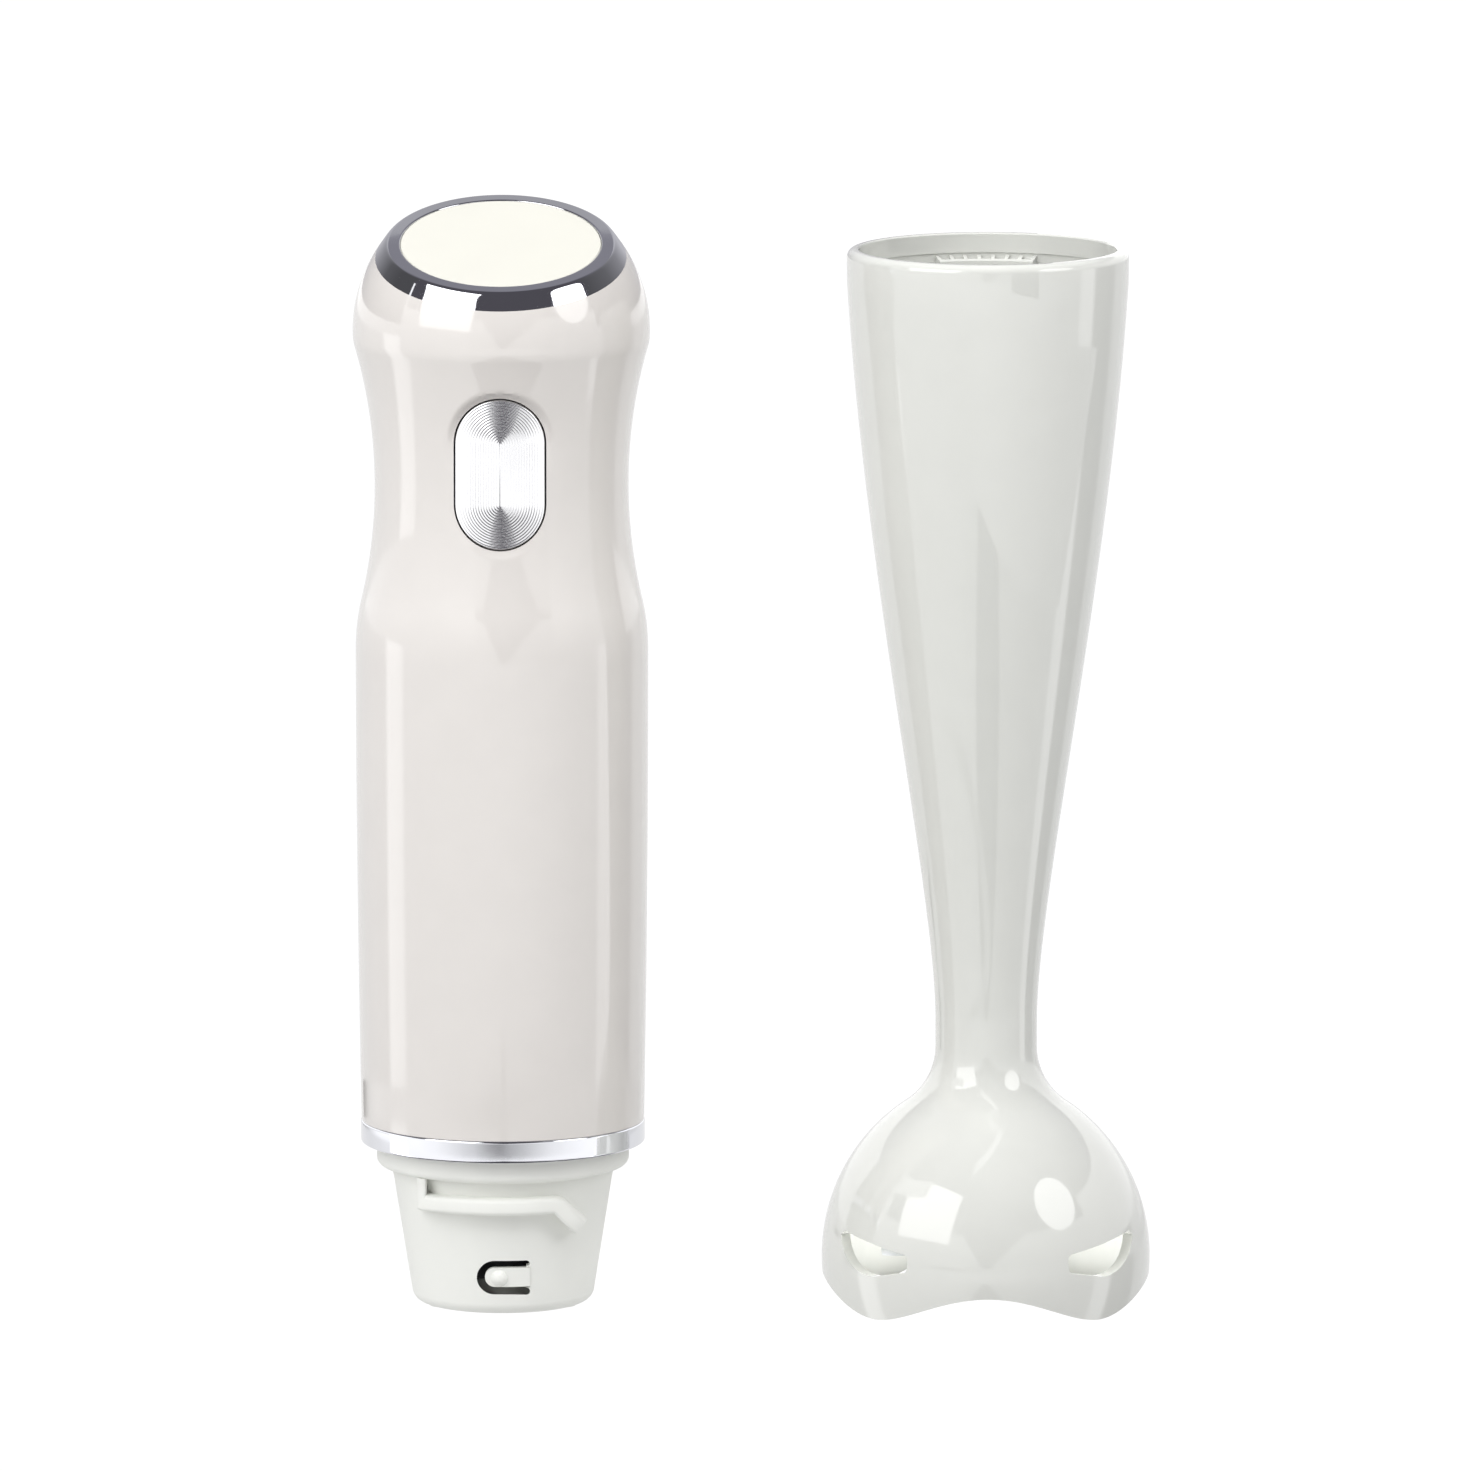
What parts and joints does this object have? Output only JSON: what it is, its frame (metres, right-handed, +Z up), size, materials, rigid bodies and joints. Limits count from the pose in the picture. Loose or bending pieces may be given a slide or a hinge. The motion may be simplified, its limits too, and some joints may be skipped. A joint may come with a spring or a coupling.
{
  "type": "immersion blender",
  "caption": "Handheld immersion blender: motor handset with a silver press button and chrome rings, and its detached plastic blending foot with a bell guard and blade.",
  "frame": {"origin": "middle of the floor rectangle under the two pieces, on the plane they stand on", "axes": "+Z up, along the motor axis; +X from the handset towards the foot; -Y is the front, where the button is"},
  "size_m": [0.1597, 0.066, 0.2217],
  "materials": {
    "white_gloss": "injection-moulded gloss ABS",
    "cream_gloss": "gloss ABS disc",
    "chrome": "bright chrome plate on ABS",
    "white_matte": "spark-eroded matte polypropylene",
    "foot_white": "moulded polypropylene, semi-gloss",
    "spun_metal": "spun aluminium face with turned grooves",
    "grey_plastic": "moulded acetal",
    "dark_plastic": "glass-filled nylon",
    "liner_white": "moulded acetal",
    "rubber_black": "nitrile rubber",
    "bush_rubber": "pale thermoplastic rubber",
    "steel": "ground stainless steel",
    "zinc_steel": "zinc-plated steel",
    "magnet": "sintered ferrite",
    "laminations": "stacked electrical steel",
    "copper": "enamelled copper wire",
    "bronze": "sintered bronze",
    "spring_brass": "rolled spring brass",
    "carbon": "pressed carbon",
    "board_green": "solder-masked laminate",
    "part_blue": "epoxy-dipped component",
    "plunger_red": "moulded acetal",
    "fan_nylon": "moulded nylon",
    "lead_brown": "PVC insulation",
    "lead_red": "PVC insulation"
  },
  "bodies": {
    "handset": {"grip_shell": "white_gloss", "top_ring": "chrome", "top_cap": "cream_gloss", "trim_ring": "chrome", "collar": "white_matte", "collar_screws": "zinc_steel", "cable_bush": "bush_rubber", "button_spring": "steel", "switch_carrier": "dark_plastic", "microswitch": "dark_plastic", "circuit_board": "board_green", "board_parts": "part_blue", "board_screws": "zinc_steel", "mains_leads": "lead_brown", "motor_leads": "lead_red", "motor_carrier": "dark_plastic", "motor_can": "zinc_steel", "damper_rings": "rubber_black", "field_magnets": "magnet", "end_bell": "dark_plastic", "carbon_brushes": "carbon", "brush_springs": "spring_brass", "lower_bearing": "bronze", "upper_bearing": "bronze"},
    "button": {"button_cap": "spun_metal", "button_slider": "grey_plastic"},
    "plunger": {"switch_plunger": "plunger_red"},
    "rotor": {"motor_shaft": "steel", "armature": "laminations", "windings": "copper", "commutator": "copper", "cooling_fan": "fan_nylon", "drive_dog": "dark_plastic"},
    "tab_front": {"detent_tab_front": "white_matte"},
    "tab_rear": {"detent_tab_rear": "white_matte"},
    "foot": {"foot_shell": "foot_white", "socket_liner": "liner_white", "bearing_tube": "zinc_steel", "upper_bush": "bronze", "lower_bush": "bronze", "shaft_seal": "rubber_black"},
    "blade_set": {"drive_shaft": "steel", "driven_dog": "liner_white", "retaining_ring": "steel", "blade": "steel", "blade_nut": "steel"}
  },
  "joints": [
    {"name": "button_press", "type": "slide", "parent": "handset", "child": "button", "axis": [0, 1, 0], "range_m": [0, 0.0015], "stiffness_N_per_m": 800, "springref_m": -0.0015, "deforming": ["button_spring"]},
    {"name": "plunger_travel", "type": "slide", "parent": "handset", "child": "plunger", "axis": [0, 1, 0], "range_m": [0, 0.0015]},
    {"name": "rotor_spin", "type": "hinge", "parent": "handset", "child": "rotor", "pos_m": [-0.05015, 0, 0.06], "axis": [0, 0, 1], "continuous": true},
    {"name": "tab_front_flex", "type": "hinge", "parent": "handset", "child": "tab_front", "pos_m": [-0.04445, -0.01753, 0.0079], "axis": [0, 0, -1], "range_deg": [0, 4], "stiffness_Nm_per_rad": 0.6},
    {"name": "tab_rear_flex", "type": "hinge", "parent": "handset", "child": "tab_rear", "pos_m": [-0.05585, 0.01753, 0.0079], "axis": [0, 0, -1], "range_deg": [0, 4], "stiffness_Nm_per_rad": 0.6},
    {"name": "foot_lift", "type": "slide", "parent": "handset", "child": "foot", "axis": [0, 0, 1], "range_m": [0, 0.25]},
    {"name": "blade_spin", "type": "hinge", "parent": "foot", "child": "blade_set", "pos_m": [0.04685, 0, 0.1], "axis": [0, 0, 1], "continuous": true}
  ],
  "couplings": [
    {"joint": "plunger_travel", "follows": "button_press", "ratio": 1}
  ]
}
